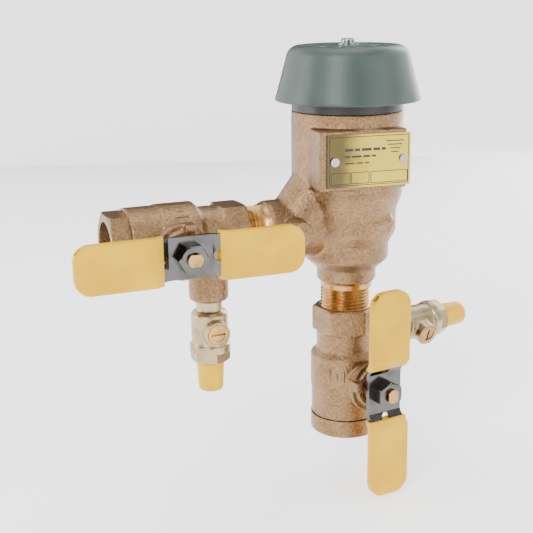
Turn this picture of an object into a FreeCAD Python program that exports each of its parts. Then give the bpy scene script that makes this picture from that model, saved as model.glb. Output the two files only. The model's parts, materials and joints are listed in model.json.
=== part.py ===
"""Pressure vacuum breaker for a 3/4 inch irrigation line, modelled piece by piece.

A bronze body stands on an inlet ball valve and carries an outlet ball valve on its left
branch. Each valve has a quarter-turn handle and a slotted test cock. Inside the body a sprung
check poppet lifts off its seat, and a second sprung poppet closes the air inlet in the bonnet
under the canopy.

Millimetres. The origin is the centre of the inlet port's end face, +Z runs up the riser, the
outlet points along -X and the handles face -Y.
"""
import FreeCAD, Part
import math
import os
import re

import Sketcher
from FreeCAD import Placement, Rotation, Vector

# Driving dimensions, and the heights that follow from them. Every other size in the
# model is worked out from these.
SIZES = {
    # riser and branches
    "valve_length": 69.2,          # ball valve, port face to port face
    "body_rise": 43.8,             # top of the inlet valve to the outlet axis
    "branch_reach": 57.8,          # riser axis to the inner face of the outlet valve
    "outlet_height": "=valve_length + body_rise",   # inlet port face to the outlet axis
    "outlet_reach": "=valve_length + branch_reach",  # riser axis to the outlet port face
    "inlet_clocking": 8.5,         # degrees the inlet valve is turned about the riser
    # pipe thread, 3/4 inch taper drawn parallel
    "thread_radius": 13.34,
    "thread_pitch": 1.814,
    "thread_depth": 0.95,
    "thread_gap": 0.05,            # crest of the male thread to the female wall
    "thread_grip": 11.0,           # length of male thread inside the valve
    "inlet_thread_top": "=valve_length + 10.6",
    "outlet_thread_top": "=branch_reach - 8.2",
    "port_radius": 12.2,           # wall of the female port
    "port_depth": 14.5,
    "bore_radius": 9.5,
    # cast body
    "barrel_radius": 28.3,
    "barrel_top": "=outlet_height + 58.4",
    "barrel_low": "=outlet_height + 16.5",
    "waist_radius": 25.3,
    "waist_top": "=outlet_height + 8.0",
    "waist_low": "=outlet_height - 3.0",
    "ring_radius": 21.7,
    "ring_top": "=valve_length + 34.3",
    "ring_low": "=valve_length + 26.3",
    "collar_radius": 15.4,
    "collar_top": "=valve_length + 20.8",
    "collar_low": "=valve_length + 15.0",
    "spigot_chamfer": 2.0,
    "outlet_collar_end": "=branch_reach - 12.6",
    "branch_radius": 15.3,
    "leg_radius": 15.0,
    "elbow_radius": 15.7,
    "elbow_bore_radius": 9.9,
    "leg_elbow": 30.8,             # riser axis to the bend of the outlet leg
    "leg_tilt": 37.6,              # degrees between the leg and the riser
    "leg_length": 42.0,
    "side_boss_radius": 6.7,
    "side_boss_reach": 24.0,
    "side_boss_x": 36.0,
    "side_boss_height": "=outlet_height + 1.8",
    "arrow_relief": 0.8,
    "arrow_length": 15.0,
    "arrow_shaft": 1.6,
    "arrow_turn": 24.0,
    "cavity_chamfer": 4.0,
    # cavity of the body
    "chamber_radius": 23.6,
    "chamber_floor": "=outlet_height + 15.0",
    "check_chamber_radius": 18.0,
    "seat_radius": 14.2,
    "seat_floor": "=valve_length + 29.8",
    "seat_height": 5.0,
    "bonnet_thread_radius": 25.3,
    "bonnet_thread_length": 11.5,
    # nameplate
    "plate_turn": -6.0,            # degrees the plate faces away from -Y
    "plate_face": 30.0,            # riser axis to the face of the plate
    "plate_width": 42.8,
    "plate_height": 25.6,
    "plate_thickness": 0.9,
    "plate_middle": "=outlet_height + 36.8",
    "pad_width": 45.0,
    "pad_height": 29.0,
    "pad_shift": -2.6,
    "rivet_spacing": 35.4,
    "rivet_head_radius": 2.1,
    "rivet_shank_radius": 1.3,
    "rivet_head": 1.0,
    "rivet_length": 5.0,
    # bonnet and canopy
    "bonnet_radius": 28.0,
    "bonnet_flange": 7.0,
    "bonnet_neck_radius": 24.0,
    "bonnet_inner_radius": 20.5,
    "bonnet_groove": 2.2,
    "bonnet_groove_start": 2.0,
    "bonnet_groove_width": 2.6,
    "bonnet_plate_low": "=barrel_top + 9.6",
    "bonnet_plate_thickness": 4.0,
    "air_port_radius": 12.0,
    "post_radius": 6.5,
    "rib_thickness": 3.0,
    "rib_count": 3,
    "canopy_rim_radius": 36.6,
    "canopy_rim": "=barrel_top + 4.5",
    "canopy_top": "=barrel_top + 31.6",
    "canopy_crown_radius": 29.3,   # where the skirt would meet the flat top
    "canopy_wall": 2.4,
    "canopy_round": 6.4,
    "vent_inner_radius": 15.0,
    "vent_outer_radius": 22.9,
    "vent_width": 5.4,
    "vent_count": 12,
    "canopy_screw_radius": 2.0,
    "canopy_screw_length": 7.0,
    "screw_gap": 0.2,
    "screw_head_radius": 3.6,
    "screw_head_height": 2.2,
    "screw_head_round": 1.1,
    "screw_slot_width": 0.9,
    "screw_slot_depth": 1.0,
    "washer_radius": 5.2,
    "washer_thickness": 0.9,
    # check and air inlet inside the body
    "check_disc_radius": 13.0,
    "guide_pin_radius": 3.0,
    "guide_gap": 0.05,             # radial running clearance of sliding pins
    "check_plate": 2.5,
    "check_screw_radius": 3.2,
    "check_thread_radius": 1.5,
    "check_thread_length": 4.0,
    "check_head_radius": 5.0,
    "check_head": 1.6,
    "check_pin_overlap": 3.0,      # how far the pin is inside its guide at rest
    "seal_gap": 0.3,
    "seal_thickness": 2.0,
    "spring_seat_radius": 4.2,
    "cage_hub_radius": 6.5,
    "cage_hub_top": "=chamber_floor + 17.0",
    "cage_roof": 3.0,
    "cage_gap": 0.1,
    "cage_ring_height": 4.0,
    "cage_leg_width": 4.0,
    "air_disc_radius": 17.0,
    "air_disc_low": "=barrel_top - 2.9",
    "air_disc_thickness": 5.0,
    "air_seal_height": 2.0,
    "air_recess_radius": 6.3,
    "air_recess": 3.5,
    "air_foot_radius": 4.0,
    "air_pin_overlap": 3.0,
    "spring_wire_radius": 0.6,
    "check_spring_turns": 8,
    "air_spring_turns": 3.5,
    "spring_radius": 5.0,
    # ball valve, measured from its outer port face towards the body
    "valve_barrel_radius": 18.0,
    "valve_band_radius": 18.5,
    "band_low": 24.8,
    "band_high": 43.9,
    "end_piece_length": 9.4,
    "end_piece_radius": 18.4,
    "hex_flats": 31.1,
    "hex_length": 13.4,
    "hex_chamfer": 1.4,
    "end_chamfer": 0.9,
    "neck_radius": 15.4,
    "stem_height": 30.8,
    "ball_radius": 13.2,
    "ball_gap": 0.3,
    "seat_ring_radius": 13.8,
    "seat_lip_radius": 12.6,
    "seat_back": 11.8,             # ball centre to the back of a seat ring
    "end_thread_radius": 15.9,
    "stem_boss_radius": 10.2,
    "stem_boss_reach": 26.5,
    "stem_flange_radius": 13.6,
    "stem_flange_low": 21.5,
    "stem_flange_high": 25.0,
    "stem_radius": 4.6,
    "stem_gap": 0.05,
    "stem_slot_width": 4.4,
    "stem_slot_depth": 2.6,
    "stem_collar_radius": 6.0,
    "stem_collar_low": 14.0,
    "stem_collar_height": 2.0,
    "thrust_washer": 0.8,
    "packing_low": 19.0,
    "packing_height": 3.2,
    "gland_radius": 7.6,
    "gland_stand": 2.8,
    "stem_flat_width": 5.7,
    "stem_tip": 42.4,
    "stem_tip_radius": 3.55,
    "lug_width": 5.4,
    "lug_length": 4.0,
    "lug_reach": 29.6,
    # handle
    "handle_plane": 32.6,          # pipe axis to the inner face of the handle plate
    "handle_plate": 2.3,
    "handle_half_width": 9.9,
    "handle_bend_start": 10.5,     # along the handle from the stem
    "handle_bend_end": 17.5,
    "handle_offset": 4.3,
    "handle_half_length": 53.2,
    "handle_notch_radius": 2.6,
    "grip_start": 13.4,
    "grip_half_width": 11.4,
    "grip_half_length": 54.5,
    "grip_thickness": 4.7,
    "grip_corner": 7.5,
    "grip_gap": 0.02,
    "handle_hole_gap": 0.05,
    "handle_nut_flats": 12.7,
    "handle_nut_height": 5.8,
    "handle_nut_bevel": 0.7,
    # test cock, measured from the valve's pipe axis outwards
    "cock_height": 50.8,           # port face of the valve to the cock's axis
    "cock_boss_radius": 9.9,
    "cock_boss_reach": 31.8,
    "cock_boss_bevel": 1.4,
    "cock_thread_radius": 6.6,
    "cock_thread_start": 22.0,
    "cock_thread_end": 37.0,
    "cock_body_radius": 9.2,
    "cock_body_end": 58.4,
    "cock_band_radius": 10.2,
    "cock_band_start": 53.5,
    "cock_hex_flats": 17.6,
    "cock_hex_length": 5.0,
    "cock_hex_bevel": 1.6,
    "cock_nozzle_radius": 5.6,
    "cock_nozzle_length": 11.0,
    "cock_bore_radius": 3.0,
    "cock_plug_height": 46.7,
    "cock_plug_reach": 13.0,
    "cock_plug_radius": 5.05,
    "cock_plug_depth": 6.0,        # how far the plug goes past the cock's axis
    "cock_plug_bore": 2.6,
    "cock_stem_radius": 3.6,
    "cock_stem_sink": 0.4,
    "cock_boss_outer": 6.4,
    "cock_gland_depth": 4.0,
    "cock_shoulder": 1.6,
    "cock_end_thread_radius": 6.0,
    "cock_end_thread_length": 4.4,
    "cock_slot_width": 1.1,
    "cock_slot_depth": 1.3,
    "cock_cap_radius": 7.0,
    "cock_cap_tip_radius": 6.2,
    "cock_cap_length": 15.6,
    "cock_cap_round": 1.8,
    "cock_cap_gap": 0.05,
    "inlet_cock_turn": 20.0,       # degrees the inlet cock is clocked in its thread
}

DOC = FreeCAD.newDocument("pressure_vacuum_breaker")
SHEET = DOC.addObject("Spreadsheet::Sheet", "sizes")
for row, (alias, number) in enumerate(SIZES.items(), start=1):
    SHEET.set(f"A{row}", alias)
    SHEET.set(f"B{row}", str(number))
    SHEET.setAlias(f"B{row}", alias)
DOC.recompute()


# ---------------------------------------------------------------- helpers

def size(formula):
    """Work out a formula written with the sheet's aliases."""
    return float(SHEET.evalExpression(str(formula)))


def bound(formula):
    """The same formula as another object has to spell it."""
    return re.sub(r"[a-z_]+", lambda word: "sizes." + word.group()
                  if word.group() in SIZES else word.group(), str(formula))


def tie(thing, prop, formula):
    """Bind a property of an object to the sheet."""
    thing.setExpression(prop, bound(formula))


def tie_place(thing, at, prefix=".Placement.Base."):
    """Bind an object's position to the sheet."""
    for axis, formula in zip("xyz", at):
        tie(thing, prefix + axis, formula)


class Piece:
    """A PartDesign body whose sketches and features follow the sheet."""

    def __init__(self, name):
        self.body = DOC.addObject("PartDesign::Body", name)
        self.body.Label = name
        self.name = name
        self.count = 0

    def origin(self, role):
        """One of the body's own origin planes or axes."""
        return [f for f in self.body.Origin.OriginFeatures if f.Role == role][0]

    def attach(self, thing, plane, shift, spin):
        """Lay a sketch or solid on an origin plane, shifted and turned in that plane's frame."""
        axis, degrees = spin
        thing.AttachmentSupport = [(self.origin(plane), "")]
        thing.MapMode = "FlatFace"
        thing.AttachmentOffset = Placement(Vector(), Rotation(axis, size(degrees)))
        tie_place(thing, shift, ".AttachmentOffset.Base.")
        return thing

    def sketch(self, plane, shift=("0", "0", "0"), spin=(Vector(0, 0, 1), "0")):
        """An empty sketch on one of the body's own origin planes."""
        self.count += 1
        sketch = self.body.newObject("Sketcher::SketchObject", f"{self.name}_sketch_{self.count}")
        return self.attach(sketch, plane, shift, spin)

    def ball(self, radius, plane, shift, cut=False):
        """Add or cut a sphere."""
        self.count += 1
        kind = "SubtractiveSphere" if cut else "AdditiveSphere"
        sphere = self.body.newObject("PartDesign::" + kind, f"{self.name}_sphere_{self.count}")
        self.attach(sphere, plane, shift, (Vector(0, 0, 1), "0"))
        tie(sphere, "Radius", radius)
        DOC.recompute()
        return sphere

    def outline(self, sketch, corners):
        """Draw a closed outline of straight lines and tie every corner to the sheet."""
        spots = [Vector(size(x), size(y), 0) for x, y in corners]
        first = sketch.GeometryCount
        for spot, following in zip(spots, spots[1:] + spots[:1]):
            sketch.addGeometry(Part.LineSegment(spot, following))
        for index, corner in enumerate(corners):
            line = first + index
            after = first + (index + 1) % len(corners)
            sketch.addConstraint(Sketcher.Constraint("Coincident", line, 2, after, 1))
            for kind, formula in zip(("DistanceX", "DistanceY"), corner):
                rule = Sketcher.Constraint(kind, -1, 1, line, 1, size(formula))
                number = sketch.addConstraint(rule)
                tie(sketch, f"Constraints[{number}]", formula)
        return sketch

    def circle(self, sketch, radius, at=("0", "0")):
        """Draw a circle and tie its centre and radius to the sheet."""
        centre = Vector(size(at[0]), size(at[1]), 0)
        index = sketch.addGeometry(Part.Circle(centre, Vector(0, 0, 1), size(radius)))
        for kind, formula in zip(("DistanceX", "DistanceY"), at):
            rule = Sketcher.Constraint(kind, -1, 1, index, 3, size(formula))
            tie(sketch, f"Constraints[{sketch.addConstraint(rule)}]", formula)
        rule = Sketcher.Constraint("Radius", index, size(radius))
        tie(sketch, f"Constraints[{sketch.addConstraint(rule)}]", radius)
        return sketch

    def box(self, sketch, wide, high, at=("0", "0")):
        """Draw a rectangle given by its middle and its full width and height."""
        x, y = at
        return self.outline(sketch, [(f"{x} - ({wide}) / 2", f"{y} - ({high}) / 2"),
                                     (f"{x} + ({wide}) / 2", f"{y} - ({high}) / 2"),
                                     (f"{x} + ({wide}) / 2", f"{y} + ({high}) / 2"),
                                     (f"{x} - ({wide}) / 2", f"{y} + ({high}) / 2")])

    def hexagon(self, sketch, flats):
        """Draw a hexagon about the sketch's origin, a corner on its vertical axis."""
        root = "1.7320508"
        half = f"({flats}) / 2"
        return self.outline(sketch, [("0", f"{flats} / {root}"),
                                     (f"-{half}", f"{flats} / (2 * {root})"),
                                     (f"-{half}", f"-{flats} / (2 * {root})"),
                                     ("0", f"-{flats} / {root}"),
                                     (half, f"-{flats} / (2 * {root})"),
                                     (half, f"{flats} / (2 * {root})")])

    def feature(self, kind, sketch):
        """Add a feature that uses a sketch and hide nothing else."""
        self.count += 1
        feature = self.body.newObject("PartDesign::" + kind, f"{self.name}_{kind}_{self.count}")
        feature.Profile = sketch
        return feature

    def turn(self, corners, plane="XZ_Plane", axis="V_Axis", cut=False,
             shift=("0", "0", "0"), spin=(Vector(0, 0, 1), "0")):
        """Revolve an outline about a sketch axis, or cut the turned shape away."""
        sketch = self.outline(self.sketch(plane, shift, spin), corners)
        feature = self.feature("Groove" if cut else "Revolution", sketch)
        feature.ReferenceAxis = (sketch, [axis])
        feature.Angle = 360
        DOC.recompute()
        return feature

    def pad(self, sketch, length, back=False, cut=False):
        """Pad or pocket a sketch by a length, along its normal unless it goes back."""
        feature = self.feature("Pocket" if cut else "Pad", sketch)
        feature.Reversed = back if not cut else not back
        tie(feature, "Length", length)
        DOC.recompute()
        return feature

    def around(self, features, count):
        """Repeat features around the body's own Z axis."""
        pattern = self.body.newObject("PartDesign::PolarPattern", f"{self.name}_pattern")
        pattern.Originals = features
        pattern.Axis = (self.origin("Z_Axis"), [""])
        pattern.Angle = 360
        tie(pattern, "Occurrences", count)
        self.body.Tip = pattern
        DOC.recompute()
        return pattern

    def soften(self, kind, amount, rings):
        """Round or chamfer the circular edges found at (radius, height) along Z."""
        wanted = [(size(radius), size(height)) for radius, height in rings]
        base, edges = self.body.Tip, []
        for index, edge in enumerate(base.Shape.Edges, start=1):
            if not isinstance(edge.Curve, Part.Circle):
                continue
            middle = edge.Curve.Center
            for radius, height in wanted:
                if (abs(edge.Curve.Radius - radius) < 0.01 and abs(middle.z - height) < 0.01
                        and abs(edge.Curve.Axis.z) > 0.99):
                    edges.append(f"Edge{index}")
        self.count += 1
        feature = self.body.newObject("PartDesign::" + kind, f"{self.name}_{kind}_{self.count}")
        feature.Base = (base, edges)
        tie(feature, "Radius" if kind == "Fillet" else "Size", amount)
        DOC.recompute()
        return feature


PIECES = {}


def keep(solid, name, frame=Placement()):
    """Register a finished sub-part under its name and set it in its place."""
    solid = solid.body if isinstance(solid, Piece) else solid
    solid.Label = name
    solid.Placement = frame
    PIECES[name] = solid
    return solid


def turned(name, corners, frame=Placement()):
    """A sub-part that is one revolved outline about its own Z axis."""
    piece = Piece(name)
    piece.turn(corners)
    keep(piece, name, frame)
    return piece


def primitive(kind, name, measures, at=("0", "0", "0"), axis=Vector(0, 0, 1), angle=0.0):
    """A Part primitive whose measures and position follow the sheet."""
    solid = DOC.addObject("Part::" + kind, name)
    for prop, formula in measures.items():
        tie(solid, prop, formula)
    solid.Placement = Placement(Vector(), Rotation(axis, angle))
    tie_place(solid, at)
    return solid


def joined(name, solids):
    """Fuse several solids into one."""
    fuse = DOC.addObject("Part::MultiFuse", name)
    fuse.Shapes = solids
    fuse.Refine = True
    return fuse


def carved(name, base, tools):
    """Cut one or more tools out of a base."""
    tool = tools[0] if len(tools) == 1 else joined(name + "_tools", tools)
    cut = DOC.addObject("Part::Cut", name + "_cut")
    cut.Base = base
    cut.Tool = tool
    cut.Refine = True
    return cut


def ring(name, outer, inner, low, high, frame=Placement()):
    """A plain ring between two radii and two heights."""
    return turned(name, [(inner, low), (outer, low), (outer, high), (inner, high)], frame)


def thread(first, pitch, depth, crest, count):
    """Corners of the V grooves of a male thread, from the low end upwards."""
    corners = []
    for turn_number in range(count):
        low = f"{first} + {turn_number} * {pitch}"
        corners.append((crest, low))
        corners.append((f"{crest} - {depth}", f"{low} + {pitch} / 2"))
    corners.append((crest, f"{first} + {count} * {pitch}"))
    return corners


def turn_about(axis, degrees, at=Vector()):
    """A placement that turns about an axis and then moves."""
    return Placement(at, Rotation(axis, degrees))


AXIS_X, AXIS_Y, AXIS_Z = Vector(1, 0, 0), Vector(0, 1, 0), Vector(0, 0, 1)


# ---------------------------------------------------------------- cast body

SPIGOT_LOW = "(valve_length - thread_grip)"
SPIGOT_END = "(outlet_reach - valve_length + thread_grip)"
OUTLET_AXIS = ("0", "outlet_height", "0")
LEG_FOOT = ("-leg_elbow", "outlet_height", "0")


def thread_turns(first, last):
    """Whole turns of thread between two places."""
    return math.floor(size(f"({last} - {first}) / thread_pitch"))


def make_valve_body():
    """The bronze casting: riser, slanted outlet leg, two male spigots and the nameplate pad."""
    cast = Piece("valve_body")
    turns = thread_turns(SPIGOT_LOW, "inlet_thread_top")
    first = f"inlet_thread_top - {turns} * thread_pitch"
    grooves = thread(first, "thread_pitch", "thread_depth", "thread_radius", turns)
    cast.turn([("0", SPIGOT_LOW), ("thread_radius", SPIGOT_LOW)] + grooves
              + [("thread_radius", "collar_low - spigot_chamfer"),
                 ("collar_radius", "collar_low"), ("collar_radius", "collar_top"),
                 ("ring_radius", "ring_low"), ("ring_radius", "ring_top"),
                 ("waist_radius", "waist_low"), ("waist_radius", "waist_top"),
                 ("barrel_radius", "barrel_low"), ("barrel_radius", "barrel_top"),
                 ("0", "barrel_top")])

    turns = thread_turns("outlet_thread_top", SPIGOT_END)
    first = f"-outlet_thread_top - {turns} * thread_pitch"
    grooves = thread(first, "thread_pitch", "thread_depth", "thread_radius", turns)
    grooves = [(along, radius) for radius, along in grooves]
    cast.turn([(f"-{SPIGOT_END}", "0"), (f"-{SPIGOT_END}", "thread_radius")] + grooves
              + [("-outlet_collar_end", "branch_radius"), ("0", "branch_radius"), ("0", "0")],
              axis="H_Axis", shift=OUTLET_AXIS)
    cast.turn([("0", "0"), ("leg_radius", "0"), ("leg_radius", "leg_length"),
               ("0", "leg_length")], shift=LEG_FOOT, spin=(AXIS_Z, "-leg_tilt"))
    cast.ball("elbow_radius", "XZ_Plane", LEG_FOOT)

    pad = cast.sketch("XZ_Plane", ("0", "plate_middle", "0"), (AXIS_Y, "plate_turn"))
    cast.box(pad, "pad_width", "pad_height", ("pad_shift", "0"))
    cast.pad(pad, "plate_face - plate_thickness")
    boss = cast.sketch("XZ_Plane", ("-side_boss_x", "side_boss_height", "0"))
    cast.pad(cast.circle(boss, "side_boss_radius"), "side_boss_reach")
    arrow = cast.sketch("XZ_Plane", ("0", "(waist_low + waist_top) / 2", "0"),
                        (AXIS_Y, "arrow_turn"))
    half, barb = "arrow_length / 2", "arrow_length / 3"
    cast.outline(arrow, [(f"-{half}", "-arrow_shaft"), (f"{half} - {barb}", "-arrow_shaft"),
                         (f"{half} - {barb}", f"-{barb}"), (half, "0"),
                         (f"{half} - {barb}", barb), (f"{half} - {barb}", "arrow_shaft"),
                         (f"-{half}", "arrow_shaft")])
    cast.pad(arrow, "waist_radius + arrow_relief")

    wall = "bonnet_thread_radius + thread_gap"
    cast.turn([("0", f"{SPIGOT_LOW} - 1"), ("bore_radius", f"{SPIGOT_LOW} - 1"),
               ("bore_radius", "seat_floor"), ("seat_radius", "seat_floor"),
               ("seat_radius", "seat_floor + seat_height"),
               ("check_chamber_radius", "seat_floor + seat_height + cavity_chamfer"),
               ("check_chamber_radius", "chamber_floor"), ("chamber_radius", "chamber_floor"),
               ("chamber_radius", "barrel_top - bonnet_thread_length"),
               (wall, "barrel_top - bonnet_thread_length"), (wall, "barrel_top + 1"),
               ("0", "barrel_top + 1")], cut=True)
    cast.turn([("0", "0"), ("bore_radius", "0"), ("bore_radius", "leg_length"),
               ("0", "leg_length")], shift=LEG_FOOT, spin=(AXIS_Z, "-leg_tilt"), cut=True)
    cast.ball("elbow_bore_radius", "XZ_Plane", LEG_FOOT, cut=True)
    cast.turn([(f"-{SPIGOT_END} - 1", "0"), (f"-{SPIGOT_END} - 1", "bore_radius"),
               ("-leg_elbow", "bore_radius"), ("-leg_elbow", "0")],
              axis="H_Axis", shift=OUTLET_AXIS, cut=True)
    holes = cast.sketch("XZ_Plane", ("plate_face * sin(plate_turn)", "plate_middle",
                                     "plate_face * cos(plate_turn)"), (AXIS_Y, "plate_turn"))
    for side in ("-", ""):
        cast.circle(holes, "rivet_shank_radius", (f"{side}rivet_spacing / 2", "0"))
    cast.pad(holes, "rivet_length + plate_thickness", back=True, cut=True)
    return keep(cast, "valve_body")


def make_body_fittings():
    """What is fixed in and on the casting."""
    ring("check_seat", "seat_radius", "bore_radius", "seat_floor", "seat_floor + seat_height - 1")
    plate = Piece("nameplate")
    face = plate.sketch("XZ_Plane", ("(plate_face - plate_thickness) * sin(plate_turn)",
                                     "plate_middle",
                                     "(plate_face - plate_thickness) * cos(plate_turn)"),
                        (AXIS_Y, "plate_turn"))
    plate.box(face, "plate_width", "plate_height")
    for side in ("-", ""):
        plate.circle(face, "rivet_shank_radius", (f"{side}rivet_spacing / 2", "0"))
    plate.pad(face, "plate_thickness")
    keep(plate, "nameplate")

    rivets = Piece("nameplate_rivets")
    rivets.body.AllowCompound = True
    across = [f"{side}rivet_spacing / 2" for side in ("-", "")]
    for depth, radius, length in (("plate_face", "rivet_shank_radius",
                                   "plate_thickness + rivet_length"),
                                  ("plate_face", "rivet_head_radius", "-rivet_head")):
        shanks = rivets.sketch("XZ_Plane", (f"{depth} * sin(plate_turn)", "plate_middle",
                                            f"{depth} * cos(plate_turn)"),
                               (AXIS_Y, "plate_turn"))
        for place in across:
            rivets.circle(shanks, radius, (place, "0"))
        inward = not length.startswith("-")
        rivets.pad(shanks, length.lstrip("-"), back=inward)
    keep(rivets, "nameplate_rivets")


def make_bonnet():
    """Black bonnet screwed into the barrel, with the air port, its spider and the post."""
    low = "(barrel_top - bonnet_thread_length)"
    flange = "(barrel_top + bonnet_flange)"
    port = "(bonnet_plate_low + bonnet_plate_thickness)"
    groove = f"{low} + bonnet_groove_start"
    bonnet = Piece("bonnet")
    bonnet.turn([("bonnet_inner_radius", low), ("bonnet_thread_radius", low),
                 ("bonnet_thread_radius", groove),
                 ("bonnet_thread_radius - bonnet_groove", groove),
                 ("bonnet_thread_radius - bonnet_groove", f"{groove} + bonnet_groove_width"),
                 ("bonnet_thread_radius", f"{groove} + bonnet_groove_width"),
                 ("bonnet_thread_radius", "barrel_top"), ("bonnet_radius", "barrel_top"),
                 ("bonnet_radius", flange), ("bonnet_neck_radius", flange),
                 ("bonnet_neck_radius", port), ("air_port_radius", port),
                 ("air_port_radius", "bonnet_plate_low"),
                 ("bonnet_inner_radius", "bonnet_plate_low")])
    web = bonnet.sketch("XY_Plane", ("0", "0", "bonnet_plate_low + 1"))
    bonnet.box(web, "bonnet_neck_radius - 2", "rib_thickness", ("(bonnet_neck_radius - 2) / 2", "0"))
    web_pad = bonnet.pad(web, "bonnet_plate_thickness + 4")
    bonnet.around([web_pad], "rib_count")
    post = "(canopy_top - canopy_wall)"
    bonnet.turn([("0", "bonnet_plate_low"), ("post_radius", "bonnet_plate_low"),
                 ("post_radius", post), ("0", post)])
    guide = "guide_pin_radius + guide_gap"
    bonnet.turn([("0", "bonnet_plate_low - 1"), (guide, "bonnet_plate_low - 1"),
                 (guide, f"{post} - canopy_screw_length - 1"),
                 ("0", f"{post} - canopy_screw_length - 1")], cut=True)
    bonnet.turn([("0", f"{post} - canopy_screw_length"),
                 ("canopy_screw_radius", f"{post} - canopy_screw_length"),
                 ("canopy_screw_radius", f"{post} + 1"), ("0", f"{post} + 1")], cut=True)
    keep(bonnet, "bonnet")
    seal = primitive("Torus", "bonnet_o_ring", {
        "Radius1": "bonnet_thread_radius - bonnet_groove / 2", "Radius2": "bonnet_groove / 2"},
        ("0", "0", f"{groove} + bonnet_groove_width / 2"))
    keep(seal, "bonnet_o_ring", seal.Placement)


def make_canopy():
    """Moulded canopy: a tapered skirt closed by a top with a ring of vent slots."""
    canopy = Piece("canopy")
    inner = "canopy_top - canopy_wall"
    hole = "canopy_screw_radius + screw_gap"
    canopy.turn([(hole, "canopy_top"), ("canopy_crown_radius", "canopy_top"),
                 ("canopy_rim_radius", "canopy_rim"),
                 ("canopy_rim_radius - canopy_wall", "canopy_rim"),
                 ("canopy_crown_radius - canopy_wall", inner), (hole, inner)])
    canopy.soften("Fillet", "canopy_round", [("canopy_crown_radius", "canopy_top")])
    canopy.soften("Fillet", "canopy_round - canopy_wall",
                  [("canopy_crown_radius - canopy_wall", inner)])
    slot = canopy.sketch("XY_Plane", ("0", "0", f"{inner} - 1"))
    canopy.box(slot, "vent_outer_radius - vent_inner_radius", "vent_width",
               ("(vent_outer_radius + vent_inner_radius) / 2", "0"))
    vent = canopy.pad(slot, "canopy_wall + 2", back=False, cut=True)
    canopy.around([vent], "vent_count")
    keep(canopy, "canopy")

    ring("canopy_washer", "washer_radius", "canopy_screw_radius + screw_gap", "canopy_top",
         "canopy_top + washer_thickness")
    head = "canopy_top + washer_thickness"
    low = "canopy_top - canopy_wall - canopy_screw_length"
    screw = Piece("canopy_screw")
    screw.turn([("0", low), ("canopy_screw_radius", low), ("canopy_screw_radius", head),
                ("screw_head_radius", head), ("screw_head_radius", f"{head} + screw_head_height"),
                ("0", f"{head} + screw_head_height")])
    screw.soften("Fillet", "screw_head_round",
                 [("screw_head_radius", f"{head} + screw_head_height")])
    drive = screw.sketch("XY_Plane", ("0", "0", f"{head} + screw_head_height"))
    screw.box(drive, "2 * screw_head_radius + 1", "screw_slot_width")
    screw.pad(drive, "screw_slot_depth", back=True, cut=True)
    keep(screw, "canopy_screw")


# ---------------------------------------------------------------- check and air inlet

def coil(name, radius, low, high, turns):
    """A helical spring with closed ends between two heights."""
    wire = size("spring_wire_radius")
    base, top = size(low) + wire, size(high) - wire
    path = Part.makeLongHelix((top - base) / turns, top - base, size(radius))
    start = Vector(size(radius), 0, 0)
    section = Part.Wire(Part.makeCircle(wire, start, Vector(0, 1, 0)))
    solid = Part.Wire(path.Edges).makePipeShell([section], True, True)
    spring = DOC.addObject("Part::Feature", name)
    spring.Shape = solid
    keep(spring, name, Placement(Vector(0, 0, base), Rotation()))


def make_check():
    """Guide cage, and the sprung poppet that lifts off the seat when water flows."""
    cage = Piece("guide_cage")
    rim, top = "chamber_radius - cage_gap", "chamber_floor + cage_ring_height"
    inside = "check_chamber_radius + 1"
    cage.turn([(inside, "chamber_floor"), (rim, "chamber_floor"), (rim, top), (inside, top)])
    legs = cage.sketch("XY_Plane", ("0", "0", top))
    span = "chamber_radius - cage_gap - 1 - check_chamber_radius"
    cage.box(legs, span, "cage_leg_width", (f"check_chamber_radius + 1 + ({span}) / 2", "0"))
    leg_pad = cage.pad(legs, f"barrel_top - bonnet_thread_length - ({top})")
    spokes = cage.sketch("XY_Plane", ("0", "0", "chamber_floor"))
    cage.box(spokes, "check_chamber_radius + 2", "rib_thickness",
             ("(check_chamber_radius + 2) / 2", "0"))
    spoke_pad = cage.pad(spokes, "cage_ring_height")
    cage.around([leg_pad, spoke_pad], "rib_count")
    bore = "guide_pin_radius + guide_gap"
    cage.turn([("0", "chamber_floor"), ("cage_hub_radius", "chamber_floor"),
               ("cage_hub_radius", "cage_hub_top"), ("0", "cage_hub_top")])
    cage.turn([("0", "chamber_floor - 1"), (bore, "chamber_floor - 1"),
               (bore, "cage_hub_top - cage_roof"), ("0", "cage_hub_top - cage_roof")], cut=True)
    keep(cage, "guide_cage")

    seat = "(seat_floor + seat_height - 1)"
    face = f"({seat} + seal_gap)"
    seal_top = f"({face} + seal_thickness)"
    back = f"({seal_top} + check_plate)"
    ring("check_seal", "check_disc_radius", "check_screw_radius", face, seal_top)
    poppet = turned("check_poppet", [
        ("0", f"{seal_top}"), ("check_disc_radius", seal_top), ("check_disc_radius", back),
        ("spring_seat_radius", back), ("spring_seat_radius", f"{back} + 1"),
        ("guide_pin_radius", f"{back} + 1"),
        ("guide_pin_radius", "chamber_floor + check_pin_overlap"),
        ("0", "chamber_floor + check_pin_overlap")])
    poppet.turn([("0", f"{seal_top} - 1"), ("check_thread_radius", f"{seal_top} - 1"),
                 ("check_thread_radius", f"{seal_top} + check_thread_length"),
                 ("0", f"{seal_top} + check_thread_length")], cut=True)
    turned("check_screw", [
        ("0", f"{face} - check_head"), ("check_head_radius", f"{face} - check_head"),
        ("check_head_radius", face), ("check_screw_radius", face),
        ("check_screw_radius", seal_top), ("check_thread_radius", seal_top),
        ("check_thread_radius", f"{seal_top} + check_thread_length"),
        ("0", f"{seal_top} + check_thread_length")])
    coil("check_spring", "spring_radius", back, "chamber_floor", SIZES["check_spring_turns"])


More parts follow.
